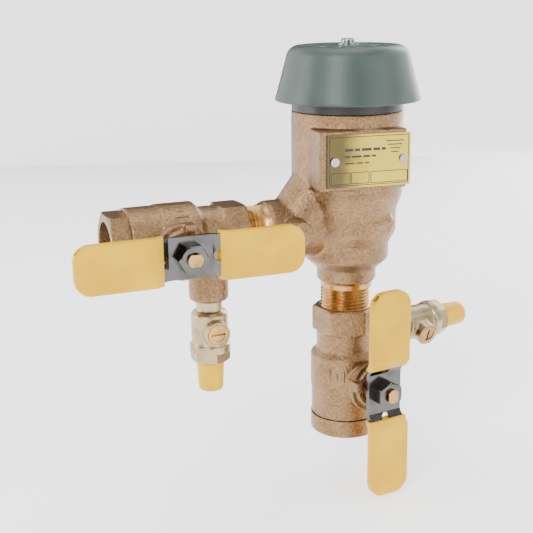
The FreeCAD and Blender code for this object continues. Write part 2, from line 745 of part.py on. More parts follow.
def make_air_inlet():
    """The sprung poppet that shuts the air port from below when the body is under pressure."""
    top = "(air_disc_low + air_disc_thickness)"
    recess = f"({top} - air_recess)"
    turned("air_poppet", [
        ("0", "cage_hub_top + seal_gap"), ("air_foot_radius", "cage_hub_top + seal_gap"),
        ("air_foot_radius", "air_disc_low"), ("air_disc_radius", "air_disc_low"),
        ("air_disc_radius", top), ("air_recess_radius", top), ("air_recess_radius", recess),
        ("guide_pin_radius", recess),
        ("guide_pin_radius", "bonnet_plate_low + air_pin_overlap"),
        ("0", "bonnet_plate_low + air_pin_overlap")])
    ring("air_seal", "air_disc_radius - 0.5", "air_port_radius + 1", top,
         f"{top} + air_seal_height")
    coil("air_spring", "spring_radius", recess, "bonnet_plate_low", SIZES["air_spring_turns"])


# ---------------------------------------------------------------- ball valves

def make_valve_case(name, frame):
    """Cast case of a ball valve with its hexagon, stem boss, stop lugs and cock boss."""
    case = Piece(name)
    case.turn([("0", "end_piece_length"), ("valve_barrel_radius", "end_piece_length"),
               ("valve_barrel_radius", "band_low"), ("valve_band_radius", "band_low"),
               ("valve_band_radius", "band_high - 1"),
               ("neck_radius", "band_high + valve_band_radius - neck_radius - 1"),
               ("neck_radius", "valve_length"), ("0", "valve_length")])
    hexagon = case.sketch("XY_Plane", ("0", "0", "valve_length - hex_length"))
    case.pad(case.hexagon(hexagon, "hex_flats"), "hex_length")
    case.turn(hex_bevel("hex_flats", "hex_chamfer", "valve_length", "-"), cut=True)
    boss = case.sketch("XZ_Plane", ("0", "stem_height", "0"))
    case.pad(case.circle(boss, "stem_boss_radius"), "stem_boss_reach")
    flange = case.sketch("XZ_Plane", ("0", "stem_height", "stem_flange_low"))
    case.pad(case.circle(flange, "stem_flange_radius"), "stem_flange_high - stem_flange_low")
    middle = "stem_flange_radius - lug_length / 2"
    for across, along in ((f"-({middle})", "lug_width / 2"), ("0", f"-({middle})")):
        lug = case.sketch("XZ_Plane", ("0", "stem_height", "stem_flange_low"))
        wide, high = ("lug_length", "lug_width") if along != f"-({middle})" \
            else ("lug_width", "lug_length")
        case.box(lug, wide, high, (across, along))
        case.pad(lug, "lug_reach - stem_flange_low")
    case.turn([("0", "0"), ("0", "cock_boss_radius"),
               ("cock_boss_reach - cock_boss_bevel", "cock_boss_radius"),
               ("cock_boss_reach", "cock_boss_radius - cock_boss_bevel"),
               ("cock_boss_reach", "0")], axis="H_Axis", shift=("0", "cock_height", "0"))

    wall, grip = "(end_thread_radius + thread_gap)", "(thread_radius + thread_gap)"
    case.turn([("0", "end_piece_length - 1"), (wall, "end_piece_length - 1"),
               (wall, "stem_height - seat_back"), ("seat_ring_radius", "stem_height - seat_back"),
               ("seat_ring_radius", "stem_height + seat_back"),
               ("bore_radius", "stem_height + seat_back"),
               ("bore_radius", "valve_length - port_depth"),
               ("port_radius", "valve_length - port_depth"),
               ("port_radius", "valve_length - thread_grip - 0.5"),
               (grip, "valve_length - thread_grip - 0.5"), (grip, "valve_length + 1"),
               ("0", "valve_length + 1")], cut=True)
    ceiling = "stem_collar_low + stem_collar_height + thrust_washer"
    for radius, low, high in (
            ("stem_collar_radius + stem_gap", "0", ceiling),
            ("stem_radius + stem_gap", "0", "stem_boss_reach + 1"),
            ("gland_radius + thread_gap", "packing_low", "stem_boss_reach + 1")):
        hole = case.sketch("XZ_Plane", ("0", "stem_height", low))
        case.circle(hole, radius)
        case.pad(hole, f"{high} - ({low})", cut=True)
    case.turn([("0", "0"), ("0", "cock_bore_radius"), ("cock_thread_start", "cock_bore_radius"),
               ("cock_thread_start", "cock_thread_radius + thread_gap"),
               ("cock_boss_reach + 1", "cock_thread_radius + thread_gap"),
               ("cock_boss_reach + 1", "0")],
              axis="H_Axis", shift=("0", "cock_height", "0"), cut=True)
    keep(case, name, frame)


def hex_bevel(flats, bevel, end, side):
    """Outline of the cut that bevels the end corners of a hexagon."""
    far = f"({flats} * 0.62)"
    return [(f"({flats}) / 2 - 0.3", f"{end}"), (far, f"{end} {side} {bevel}"),
            (f"{flats}", f"{end} {side} {bevel}"), (f"{flats}", f"{end}")]


def make_end_piece(name, frame, hexagonal):
    """The piece screwed into the outer end of a ball valve, which holds the seats."""
    piece = Piece(name)
    spigot = "(stem_height - seat_back)"
    shell = "neck_radius" if hexagonal else "end_piece_radius"
    piece.turn([("0", "0"), (shell, "0"), (shell, "end_piece_length"),
                ("end_thread_radius", "end_piece_length"), ("end_thread_radius", spigot),
                ("0", spigot)])
    if hexagonal:
        sketch = piece.sketch("XY_Plane")
        piece.pad(piece.hexagon(sketch, "hex_flats"), "end_piece_length")
        piece.turn(hex_bevel("hex_flats", "hex_chamfer", "0", "+"), cut=True)
    else:
        piece.soften("Chamfer", "end_chamfer", [("end_piece_radius", "0")])
    piece.turn([("0", "-1"), ("port_radius", "-1"), ("port_radius", "port_depth"),
                ("bore_radius", "port_depth"), ("bore_radius", f"{spigot} + 1"),
                ("0", f"{spigot} + 1")], cut=True)
    keep(piece, name, frame)


def make_seats(name, frame):
    """The two seat rings that hug the ball, one solid each side of it."""
    seats = Piece(name)
    seats.body.AllowCompound = True
    cone = "(ball_radius + ball_gap) * 1.4142136"
    inner = "(bore_radius + 0.2)"
    for side in ("+", "-"):
        seats.turn([(inner, f"stem_height {side} ({cone} - {inner})"),
                    ("seat_lip_radius", f"stem_height {side} ({cone} - seat_lip_radius)"),
                    ("seat_ring_radius", f"stem_height {side} ({cone} - seat_lip_radius)"),
                    ("seat_ring_radius", f"stem_height {side} seat_back"),
                    (inner, f"stem_height {side} seat_back")])
    keep(seats, name, frame)


def make_ball(name, frame):
    """The bored ball, with the slot that the stem's tang drives."""
    sphere = primitive("Sphere", name + "_sphere", {"Radius": "ball_radius"})
    bore = primitive("Cylinder", name + "_bore", {
        "Radius": "bore_radius", "Height": "2 * ball_radius + 2"},
        ("0", "ball_radius + 1", "0"), AXIS_X, 90)
    slot = primitive("Box", name + "_slot", {
        "Length": "2 * ball_radius + 2", "Width": "stem_slot_width", "Height": "ball_radius"},
        ("-ball_radius - 1", "-stem_slot_width / 2", "ball_radius - stem_slot_depth"))
    keep(carved(name, sphere, [bore, slot]), name, frame)


def make_stem(name, frame):
    """Stem with its tang, blow-out collar and the flatted end that takes the handle."""
    stem = Piece(name)
    collar = "(stem_collar_low + stem_collar_height)"
    stem.turn([("0", "stem_collar_low"), ("stem_collar_radius", "stem_collar_low"),
               ("stem_collar_radius", collar), ("stem_radius", collar),
               ("stem_radius", "handle_plane"), ("0", "handle_plane")])
    tang = stem.sketch("XY_Plane", ("0", "0", "ball_radius - stem_slot_depth + stem_gap"))
    stem.box(tang, "2 * stem_radius", "stem_slot_width - 2 * stem_gap")
    stem.pad(tang, f"{collar} - (ball_radius - stem_slot_depth + stem_gap)")
    stem.pad(double_flat(stem, "handle_plane", "0"), "stem_tip - handle_plane")
    keep(stem, name, frame)


def double_flat(piece, height, gap):
    """A round section with two flats across the handle, grown by a clearance."""
    sketch = piece.sketch("XY_Plane", ("0", "0", height), (AXIS_Z, "90"))
    radius, half = size(f"stem_tip_radius + {gap}"), size(f"stem_flat_width / 2 + {gap}")
    reach = math.sqrt(radius ** 2 - half ** 2)
    angle = math.asin(half / radius)
    for side in (1, -1):
        sketch.addGeometry(Part.LineSegment(Vector(-reach * side, -half * side, 0),
                                            Vector(reach * side, -half * side, 0)))
        start = -angle if side == 1 else math.pi - angle
        rim = Part.Circle(Vector(), Vector(0, 0, 1), radius)
        sketch.addGeometry(Part.ArcOfCircle(rim, start, start + 2 * angle))
    for first, second in ((0, 1), (1, 2), (2, 3), (3, 0)):
        sketch.addConstraint(Sketcher.Constraint("Coincident", first, 2, second, 1))
    for arc in (1, 3):
        sketch.addConstraint(Sketcher.Constraint("Coincident", arc, 3, -1, 1))
    rule = Sketcher.Constraint("Radius", 1, radius)
    tie(sketch, f"Constraints[{sketch.addConstraint(rule)}]", f"stem_tip_radius + {gap}")
    for line, sign in ((0, "-"), (2, "")):
        sketch.addConstraint(Sketcher.Constraint("Horizontal", line))
        rule = Sketcher.Constraint("DistanceY", -1, 1, line, 1, float(f"{sign}{half}"))
        number = sketch.addConstraint(rule)
        tie(sketch, f"Constraints[{number}]", f"{sign}(stem_flat_width / 2 + {gap})")
    return sketch


# ---------------------------------------------------------------- handles

BEND_RISE = "handle_offset / (handle_bend_end - handle_bend_start)"


def handle_edge(start, reach, depth):
    """One face of the handle from a start on the slope out to its tip."""
    slope = f"handle_plane + ({start} - handle_bend_start) * {BEND_RISE} + {depth}"
    flat = f"handle_plane + handle_offset + {depth}"
    return [(start, slope), ("handle_bend_end", flat), (reach, flat)]


def mirrored(edge):
    """The same face on the other side of the stem."""
    return [(f"-({along})", height) for along, height in edge]


def round_tips(piece, amount, across, along):
    """Round the upright corner edges at (+-across, +-along)."""
    base, edges = piece.body.Tip, []
    for index, edge in enumerate(base.Shape.Edges, start=1):
        box = edge.BoundBox
        upright = box.XLength < 0.01 and box.YLength < 0.01
        middle = box.Center
        if (upright and abs(abs(middle.x) - size(across)) < 0.01
                and abs(abs(middle.y) - size(along)) < 0.01):
            edges.append(f"Edge{index}")
    fillet = piece.body.newObject("PartDesign::Fillet", piece.name + "_tips")
    fillet.Base = (base, edges)
    tie(fillet, "Radius", amount)
    DOC.recompute()


def make_handle(name, frame):
    """Stainless lever plate: flat round the stem, cranked outwards under both grips."""
    plate = Piece(name)
    low = handle_edge("handle_bend_start", "handle_half_length", "0")
    high = handle_edge("handle_bend_start", "handle_half_length", "handle_plate")
    side = plate.sketch("YZ_Plane")
    plate.outline(side, mirrored(low)[::-1] + low + high[::-1] + mirrored(high))
    band = plate.pad(side, "2 * handle_half_width")
    band.Midplane = True
    DOC.recompute()
    round_tips(plate, "grip_corner", "handle_half_width", "handle_half_length")
    plate.pad(double_flat(plate, "handle_plane - 1", "handle_hole_gap"), "handle_plate + 2",
              cut=True)
    notches = plate.sketch("XY_Plane", ("0", "0", "handle_plane - 1"))
    for sign in ("-", ""):
        plate.circle(notches, "handle_notch_radius", ("0", f"{sign}grip_start"))
    plate.pad(notches, "handle_plate + handle_offset + 2", cut=True)
    keep(plate, name, frame)


def make_grip(name, frame):
    """Dipped vinyl grip over one end of the lever plate."""
    grip = Piece(name)
    skin = "(grip_thickness - handle_plate) / 2"
    low = handle_edge("grip_start", "grip_half_length", f"-{skin}")
    high = handle_edge("grip_start", "grip_half_length", f"handle_plate + {skin}")
    side = grip.sketch("YZ_Plane")
    body = grip.pad(grip.outline(side, low + high[::-1]), "2 * grip_half_width")
    body.Midplane = True
    DOC.recompute()
    round_tips(grip, "grip_corner", "grip_half_width", "grip_half_length")
    start = "(grip_start - 1)"
    low = handle_edge(start, "handle_half_length + grip_gap", "-grip_gap")
    high = handle_edge(start, "handle_half_length + grip_gap", "handle_plate + grip_gap")
    inside = grip.sketch("YZ_Plane")
    pocket = grip.pad(grip.outline(inside, low + high[::-1]),
                      "2 * (handle_half_width + grip_gap)", cut=True)
    pocket.Midplane = True
    DOC.recompute()
    keep(grip, name, frame)


def make_handle_nut(name, frame):
    """Hexagon nut that holds the lever on the stem."""
    nut = Piece(name)
    seat = nut.sketch("XY_Plane", ("0", "0", "handle_plane + handle_plate"))
    nut.hexagon(seat, "handle_nut_flats")
    nut.circle(seat, "stem_tip_radius + thread_gap")
    nut.pad(seat, "handle_nut_height")
    top = "handle_plane + handle_plate + handle_nut_height"
    nut.turn(hex_bevel("handle_nut_flats", "handle_nut_bevel", top, "-"), cut=True)
    keep(nut, name, frame)


# ---------------------------------------------------------------- test cocks

def make_cock(name, frame):
    """Slotted test cock: body, end fitting, plug, gland and vinyl cap."""
    body = Piece(name + "_body")
    neck = "(cock_thread_radius + cock_shoulder / 2)"
    body.turn([("0", "cock_thread_start"), ("cock_thread_radius", "cock_thread_start"),
               ("cock_thread_radius", "cock_thread_end"), (neck, "cock_thread_end"),
               ("cock_body_radius", "cock_thread_end + cock_shoulder"),
               ("cock_body_radius", "cock_band_start"),
               ("cock_band_radius", "cock_band_start + 1"), ("cock_band_radius", "cock_body_end"),
               ("0", "cock_body_end")])
    boss = body.sketch("XZ_Plane", ("0", "cock_plug_height", "0"))
    body.pad(body.circle(boss, "cock_boss_outer"), "cock_plug_reach")
    body.turn([("0", "cock_thread_start - 1"), ("cock_bore_radius", "cock_thread_start - 1"),
               ("cock_bore_radius", "cock_body_end - cock_end_thread_length"),
               ("cock_end_thread_radius + thread_gap", "cock_body_end - cock_end_thread_length"),
               ("cock_end_thread_radius + thread_gap", "cock_body_end + 1"),
               ("0", "cock_body_end + 1")], cut=True)
    hole = body.sketch("XZ_Plane", ("0", "cock_plug_height", "-cock_plug_depth - 0.2"))
    body.circle(hole, "cock_plug_radius + guide_gap")
    body.pad(hole, "cock_plug_depth + cock_plug_reach + 2", cut=True)
    keep(body, name + "_body", frame)

    end = Piece(name + "_end")
    flange = "(cock_body_end + cock_hex_length)"
    tip = f"({flange} + cock_nozzle_length)"
    end.turn([("cock_bore_radius", "cock_body_end - cock_end_thread_length"),
              ("cock_end_thread_radius", "cock_body_end - cock_end_thread_length"),
              ("cock_end_thread_radius", flange), ("cock_nozzle_radius", flange),
              ("cock_nozzle_radius", tip), ("cock_bore_radius", tip)])
    sketch = end.sketch("XY_Plane", ("0", "0", "cock_body_end"))
    end.hexagon(sketch, "cock_hex_flats")
    end.circle(sketch, "cock_end_thread_radius - 1")
    end.pad(sketch, "cock_hex_length")
    end.turn(hex_bevel("cock_hex_flats", "cock_hex_bevel", flange, "-"), cut=True)
    keep(end, name + "_end", frame)

    plug = Piece(name + "_plug")
    stem = "(cock_plug_reach - cock_gland_depth)"
    plug.turn([("0", "-cock_plug_depth"), ("cock_plug_radius", "-cock_plug_depth"),
               ("cock_plug_radius", f"{stem} - seal_gap"),
               ("cock_stem_radius", f"{stem} - seal_gap"),
               ("cock_stem_radius", "cock_plug_reach - cock_stem_sink"),
               ("0", "cock_plug_reach - cock_stem_sink")])
    way = plug.sketch("XZ_Plane", ("0", "0", "-cock_plug_radius - 1"))
    plug.pad(plug.circle(way, "cock_plug_bore"), "2 * cock_plug_radius + 2", cut=True)
    slot = plug.sketch("XY_Plane", ("0", "0", "cock_plug_reach - cock_stem_sink"))
    plug.box(slot, "cock_slot_width", "2 * cock_stem_radius + 1")
    plug.pad(slot, "cock_slot_depth", back=True, cut=True)
    side = Placement(Vector(0, 0, size("cock_plug_height")), Rotation(AXIS_X, 90))
    shut = Placement(Vector(), Rotation(AXIS_Z, 90))
    keep(plug, name + "_plug", frame * side * shut)
    ring(name + "_gland", "cock_plug_radius + guide_gap - 0.02", "cock_stem_radius + guide_gap",
         stem, "cock_plug_reach", frame * side)

    cap = Piece(name + "_cap")
    low, room = f"({flange} + 0.2)", "cock_nozzle_radius + cock_cap_gap"
    crown = f"({low} + cock_cap_length)"
    cap.turn([(room, low), ("cock_cap_radius", low), ("cock_cap_tip_radius", crown),
              ("0", crown), ("0", f"{tip} + seal_gap"), (room, f"{tip} + seal_gap")])
    cap.soften("Fillet", "cock_cap_round", [("cock_cap_tip_radius", crown)])
    keep(cap, name + "_cap", frame)


# ---------------------------------------------------------------- assembly

VALVES = {
    "inlet": turn_about(AXIS_Z, size("inlet_clocking")),
    "outlet": turn_about(AXIS_Y, 90, Vector(-size("outlet_reach"), 0, size("outlet_height"))),
}
COCK_CLOCKING = {"inlet": size("inlet_cock_turn"), "outlet": 0.0}


def make_valve_train(side, frame):
    """One ball valve with its handle and test cock, named by its side."""
    stem_frame = frame * Placement(Vector(0, 0, size("stem_height")), Rotation(AXIS_X, 90))
    half_turn = Placement(Vector(), Rotation(AXIS_Z, 180))
    make_valve_case(f"{side}_valve_case", frame)
    make_end_piece(f"{side}_end_piece", frame, hexagonal=side == "outlet")
    make_seats(f"{side}_ball_seats", frame)
    make_ball(f"{side}_ball", stem_frame)
    make_stem(f"{side}_stem", stem_frame)
    collar = "(stem_collar_low + stem_collar_height)"
    shaft = "stem_radius + stem_gap"
    ring(f"{side}_thrust_washer", "stem_collar_radius", shaft, collar,
         f"{collar} + thrust_washer", stem_frame)
    ring(f"{side}_packing", "gland_radius", shaft, "packing_low",
         "packing_low + packing_height", stem_frame)
    ring(f"{side}_gland_nut", "gland_radius", shaft, "packing_low + packing_height",
         "stem_boss_reach + gland_stand", stem_frame)
    make_handle(f"{side}_handle", stem_frame)
    make_grip(f"{side}_grip_inner", stem_frame)
    make_grip(f"{side}_grip_outer", stem_frame * half_turn)
    make_handle_nut(f"{side}_handle_nut", stem_frame)
    cock_frame = frame * Placement(Vector(0, 0, size("cock_height")), Rotation(AXIS_Y, 90))
    make_cock(f"{side}_cock", cock_frame * turn_about(AXIS_Z, COCK_CLOCKING[side]))


def check_document():
    """Stop if any object failed or any sub-part is empty or broken."""
    DOC.recompute()
    for thing in DOC.Objects:
        if "Invalid" in thing.State or "Error" in thing.State:
            raise RuntimeError(f"{thing.Label} failed: {thing.State}")
    for name, solid in PIECES.items():
        shape = solid.Shape
        if shape.isNull() or not shape.isValid() or shape.Volume <= 0:
            raise RuntimeError(f"{name} has no valid solid")


def write_parts():
    """Write one STEP file for each sub-part."""
    os.makedirs("parts", exist_ok=True)
    for name, solid in PIECES.items():
        solid.Shape.exportStep(f"parts/{name}.step")
        print(f"{name:26s} {len(solid.Shape.Solids)} solid(s) {solid.Shape.Volume:10.1f} mm3")


make_valve_body()
make_body_fittings()
make_bonnet()
make_canopy()
make_check()
make_air_inlet()
for valve_side, valve_frame in VALVES.items():
    make_valve_train(valve_side, valve_frame)
check_document()
write_parts()
print(len(PIECES), "sub-parts")
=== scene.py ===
"""Finished look of a 3/4 inch pressure vacuum breaker around its fixed CAD frame."""

import json
import logging
import math
from dataclasses import dataclass
from enum import Enum
from typing import Any, Callable

import bmesh
import bpy
from mathutils import Matrix, Vector


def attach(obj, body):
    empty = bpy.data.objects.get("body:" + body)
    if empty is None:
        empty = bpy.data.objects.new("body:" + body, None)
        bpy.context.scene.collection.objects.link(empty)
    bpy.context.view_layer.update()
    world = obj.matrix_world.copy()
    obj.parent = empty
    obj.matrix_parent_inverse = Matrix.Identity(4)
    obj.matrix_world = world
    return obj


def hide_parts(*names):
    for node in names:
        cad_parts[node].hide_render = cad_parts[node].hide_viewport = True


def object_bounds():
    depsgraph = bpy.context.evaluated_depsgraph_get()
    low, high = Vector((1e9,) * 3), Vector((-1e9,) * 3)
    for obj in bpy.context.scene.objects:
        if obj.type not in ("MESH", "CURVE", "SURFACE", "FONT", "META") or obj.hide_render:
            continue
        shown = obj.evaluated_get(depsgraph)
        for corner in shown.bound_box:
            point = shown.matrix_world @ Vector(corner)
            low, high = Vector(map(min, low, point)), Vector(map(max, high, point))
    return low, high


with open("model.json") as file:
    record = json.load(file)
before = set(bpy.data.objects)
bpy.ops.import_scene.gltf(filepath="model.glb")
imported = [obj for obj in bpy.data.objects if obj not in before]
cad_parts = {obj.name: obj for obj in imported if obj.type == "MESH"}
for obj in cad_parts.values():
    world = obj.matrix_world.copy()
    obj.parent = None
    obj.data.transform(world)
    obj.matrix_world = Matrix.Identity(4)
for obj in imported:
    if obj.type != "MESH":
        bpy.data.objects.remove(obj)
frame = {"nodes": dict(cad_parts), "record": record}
CAD_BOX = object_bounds()

LOG = logging.getLogger("vacuum_breaker")
MM = 0.001
Point = tuple[float, float, float]
Colour = tuple[float, float, float]


# ---------------------------------------------------------------- shader maths

class Level:
    """A shader value that adds Math nodes when it is used in an expression."""

    def __init__(self, paint: "Paint", socket: bpy.types.NodeSocket) -> None:
        """Wrap one socket of a material.

        Args:
            paint: The material being built.
            socket: The output that carries the value.
        """
        self.paint, self.socket = paint, socket

    def _sum(self, operation: str, first: Any, second: Any) -> "Level":
        """Add one Math node and return its result."""
        return self.paint.node("ShaderNodeMath", {"operation": operation},
                               {0: first, 1: second})

    def __add__(self, other: Any) -> "Level":
        """Sum."""
        return self._sum("ADD", self, other)

    def __radd__(self, other: Any) -> "Level":
        """Sum with the number first."""
        return self._sum("ADD", other, self)

    def __sub__(self, other: Any) -> "Level":
        """Difference."""
        return self._sum("SUBTRACT", self, other)

    def __rsub__(self, other: Any) -> "Level":
        """Difference with the number first."""
        return self._sum("SUBTRACT", other, self)

    def __mul__(self, other: Any) -> "Level":
        """Product."""
        return self._sum("MULTIPLY", self, other)

    def __rmul__(self, other: Any) -> "Level":
        """Product with the number first."""
        return self._sum("MULTIPLY", other, self)

    def above(self, edge: float, width: float) -> "Level":
        """Smooth step from 0 to 1 around an edge.

        Args:
            edge: The value at the middle of the step.
            width: How wide the step is.

        Returns:
            The stepped value.
        """
        return self.paint.node("ShaderNodeMapRange",
                               {"interpolation_type": "SMOOTHSTEP"},
                               {"Value": self, "From Min": edge - width / 2,
                                "From Max": edge + width / 2})


class Paint:
    """A node material with one principled shader."""

    def __init__(self, name: str) -> None:
        """Start an empty material.

        Args:
            name: The material's name.
        """
        self.material = bpy.data.materials.new(name)
        self.material.use_nodes = True
        self.tree = self.material.node_tree
        self.shader = self.tree.nodes["Principled BSDF"]

    def node(self, kind: str, settings: dict[str, Any],
             inputs: dict[Any, Any], output: Any = 0) -> Level:
        """Add a node.

        Args:
            kind: The node's type.
            settings: Properties, set before anything is linked.
            inputs: Values or links by socket name or number.
            output: Which output is wanted.

        Returns:
            The wanted output.
        """
        made = self.tree.nodes.new(kind)
        for key, value in settings.items():
            setattr(made, key, value)
        for key, value in inputs.items():
            self.feed(made.inputs[key], value)
        return Level(self, made.outputs[output])

    def feed(self, socket: bpy.types.NodeSocket, value: Any) -> None:
        """Link a value to a socket, or set it there."""
        if isinstance(value, Level):
            self.tree.links.new(value.socket, socket)
        else:
            socket.default_value = value

    def set(self, name: str, value: Any) -> None:
        """Set or link one socket of the shader."""
        self.feed(self.shader.inputs[name], value)

    def place(self, stretch: Point = (1, 1, 1)) -> Level:
        """Object coordinates, stretched along the axes."""
        where = self.node("ShaderNodeTexCoord", {}, {}, "Object")
        return self.node("ShaderNodeMapping", {}, {"Vector": where, "Scale": stretch})

    def noise(self, where: Level, per_metre: float, detail: float = 3,
              rough: float = 0.5) -> Level:
        """Soft noise with grains of one over per_metre."""
        return self.node("ShaderNodeTexNoise", {},
                         {"Vector": where, "Scale": per_metre, "Detail": detail,
                          "Roughness": rough}, "Fac")

    def mix(self, factor: Any, low: Colour, high: Any) -> Level:
        """Blend two colours.

        Args:
            factor: 0 for the first colour, 1 for the second.
            low: The first colour, or a link.
            high: The second colour, or a link.

        Returns:
            The blended colour.
        """
        def full(colour: Any) -> Any:
            """A colour with its alpha."""
            return colour if isinstance(colour, Level) else (*colour, 1)
        return self.node("ShaderNodeMix", {"data_type": "RGBA"},
                         {0: factor, 6: full(low), 7: full(high)}, 2)

    def bump(self, height: Level, depth: float, strength: float = 1.0) -> None:
        """Raise the surface by a height map of the given depth in metres."""
        self.set("Normal", self.node("ShaderNodeBump", {},
                                     {"Height": height, "Distance": depth,
                                      "Strength": strength}, "Normal"))


# ---------------------------------------------------------------- finishes

@dataclass(frozen=True)
class SandCast:
    """Sand-cast bronze with an orange-peel skin."""

    dark: Colour = (0.120, 0.066, 0.030)
    light: Colour = (0.370, 0.228, 0.115)
    grain: float = 900.0
    depth: float = 0.00042

    def paint(self) -> bpy.types.Material:
        """Build the material."""
        work = Paint("sand_cast_bronze")
        where = work.place()
        grains = work.noise(where, self.grain, 2.5, 0.55)
        fine = work.noise(where, self.grain * 3.2, 2, 0.5)
        cloud = work.noise(where, 60, 3, 0.6)
        tone = cloud * 0.35 + grains * 0.65
        work.set("Base Color", work.mix(tone.above(0.5, 0.6), self.dark, self.light))
        work.set("Metallic", 0.9)
        work.set("Roughness", 0.24 + fine * 0.18)
        work.bump(grains + fine * 0.25, self.depth, 0.9)
        return work.material


@dataclass(frozen=True)
class Turned:
    """Machined metal with fine tool marks."""

    name: str
    colour: Colour
    stain: Colour
    roughness: float = 0.22
    metallic: float = 1.0
    marks: Point = (1, 1, 1)
    depth: float = 0.00002

    def paint(self) -> bpy.types.Material:
        """Build the material."""
        work = Paint(self.name)
        marks = work.noise(work.place(self.marks), 2200, 2)
        cloud = work.noise(work.place(), 110, 3, 0.6)
        work.set("Base Color", work.mix(cloud.above(0.56, 0.3), self.colour, self.stain))
        work.set("Metallic", self.metallic)
        work.set("Roughness", self.roughness + marks * 0.12)
        work.bump(marks, self.depth, 0.5)
        return work.material


@dataclass(frozen=True)
class Moulded:
    """Moulded or dipped plastic and rubber."""

    name: str
    colour: Colour
    shade: Colour
    roughness: float
    grain: float
    depth: float
    coat: float = 0.0
    gloss: float = 0.5

    def paint(self) -> bpy.types.Material:
        """Build the material."""
        work = Paint(self.name)
        where = work.place()
        skin = work.noise(where, self.grain, 3)
        cloud = work.noise(where, 45, 2)
        work.set("Base Color", work.mix(cloud.above(0.5, 0.4), self.shade, self.colour))
        work.set("Roughness", self.roughness + skin * 0.12)
        work.set("Coat Weight", self.coat)
        work.set("Coat Roughness", 0.12)
        work.set("Specular IOR Level", self.gloss)
        work.bump(skin, self.depth, 0.6)
        return work.material


@dataclass(frozen=True)
class PlateBrass:
    """Bright rolled brass, with a painted dark reflection towards one end."""

    bright: Colour = (0.55, 0.41, 0.06)
    # Colour of the painted dark reflection, used towards the plate's low-X end.
    dark_reflection: Colour = (0.11, 0.085, 0.035)
    edge: float = -0.010
    fade: float = 0.016

    def paint(self) -> bpy.types.Material:
        """Build the material."""
        work = Paint("plate_brass")
        where = work.place()
        across = work.node("ShaderNodeSeparateXYZ", {}, {"Vector": where}, "X")
        brush = work.noise(work.place((0.06, 1, 1)), 2600, 2)
        cloud = work.noise(where, 90, 3)
        # Mask of the painted dark reflection: dark below the edge in X, bright brass above it.
        reflection_mask = (across + (cloud - 0.5) * 0.012).above(self.edge, self.fade)
        work.set("Base Color", work.mix(reflection_mask, self.dark_reflection, self.bright))
        work.set("Metallic", 1.0)
        work.set("Roughness", 0.16 + brush * 0.14)
        work.bump(brush, 0.00002, 0.5)
        return work.material


FINISHES: dict[str, SandCast | Turned | PlateBrass | Moulded] = {
    "cast_bronze": SandCast(),
    "machined_brass": Turned("turned_brass", (0.52, 0.31, 0.11), (0.34, 0.19, 0.07)),
    "cock_brass": Turned("pale_brass", (0.44, 0.34, 0.20), (0.28, 0.21, 0.12), 0.26),
    "chrome_ball": Turned("polished_chrome", (0.82, 0.82, 0.83), (0.74, 0.75, 0.77), 0.04),
    "steel": Turned("bright_steel", (0.42, 0.42, 0.42), (0.32, 0.32, 0.32), 0.18),
    # Stainless gets a near-black colour: a painted dark reflection of a mirror finish, not the
    # steel's own tone.
    "stainless": Turned("stainless_painted_dark_reflection", (0.12, 0.115, 0.11), (0.08, 0.08, 0.08), 0.12),
    "nameplate_brass": PlateBrass(),
    "canopy_green": Moulded("grey_green_moulding", (0.028, 0.047, 0.041),
                            (0.023, 0.039, 0.034), 0.36, 1500, 0.00003),
    "black_polymer": Moulded("black_moulding", (0.012, 0.012, 0.012),
                             (0.008, 0.008, 0.008), 0.35, 1200, 0.00003),
    "white_polymer": Moulded("white_moulding", (0.80, 0.80, 0.76),
                             (0.74, 0.74, 0.70), 0.4, 900, 0.00002),
    "seal_rubber": Moulded("black_rubber", (0.018, 0.018, 0.018),
                           (0.012, 0.012, 0.012), 0.6, 1800, 0.00004),
    "ptfe": Moulded("white_ptfe", (0.86, 0.86, 0.84), (0.80, 0.80, 0.78), 0.42, 900, 0.00002),
    "yellow_vinyl": Moulded("yellow_vinyl", (0.66, 0.385, 0.0), (0.56, 0.31, 0.0),
                            0.3, 330, 0.00006, gloss=0.22),
}


# ---------------------------------------------------------------- modelling helpers

def clear_selection() -> None:
    """Leave edit mode and deselect everything."""
    if bpy.context.object and bpy.context.object.mode != "OBJECT":
        bpy.ops.object.mode_set(mode="OBJECT")
    bpy.ops.object.select_all(action="DESELECT")


def pick(piece: bpy.types.Object) -> None:
    """Make one object the only selected one."""
    clear_selection()
    piece.select_set(True)
    bpy.context.view_layer.objects.active = piece


def apply_modifier(piece: bpy.types.Object, kind: str, **settings: Any) -> None:
    """Add a modifier and apply it.

    Args:
        piece: The object.
        kind: The modifier's type.
        settings: The modifier's properties.
    """
    pick(piece)
    made = piece.modifiers.new(kind.lower(), kind)
    for key, value in settings.items():
        setattr(made, key, value)
    bpy.ops.object.modifier_apply(modifier=made.name)


def select_where(piece: bpy.types.Object, mode: str, test: Callable[[Any], bool]) -> int:
    """Select faces or edges in edit mode by a test.

    Args:
        piece: The object, already active and in edit mode.
        mode: "FACE" or "EDGE".
        test: What an element has to pass.

    Returns:
        How many were selected.
    """
    bpy.ops.mesh.select_mode(type=mode)
    bpy.ops.mesh.select_all(action="DESELECT")
    mesh = bmesh.from_edit_mesh(piece.data)
    group = mesh.faces if mode == "FACE" else mesh.edges
    count = 0
    for element in group:
        if test(element):
            element.select_set(True)
            count += 1
    mesh.select_flush_mode()
    bmesh.update_edit_mesh(piece.data)
    return count


def copied(node: str, name: str) -> bpy.types.Object:
    """A merged copy of a CAD node under a new name."""
    source = frame["nodes"][node]
    piece = bpy.data.objects.new(name, source.data.copy())
    bpy.context.scene.collection.objects.link(piece)
    piece.matrix_world = Matrix.Identity(4)
    pick(piece)
    bpy.ops.object.mode_set(mode="EDIT")
    bpy.ops.mesh.select_all(action="SELECT")
    bpy.ops.mesh.remove_doubles(threshold=2e-6)
    bpy.ops.object.mode_set(mode="OBJECT")
    if piece.data.has_custom_normals:
        bpy.ops.mesh.customdata_custom_splitnormals_clear()
    return piece


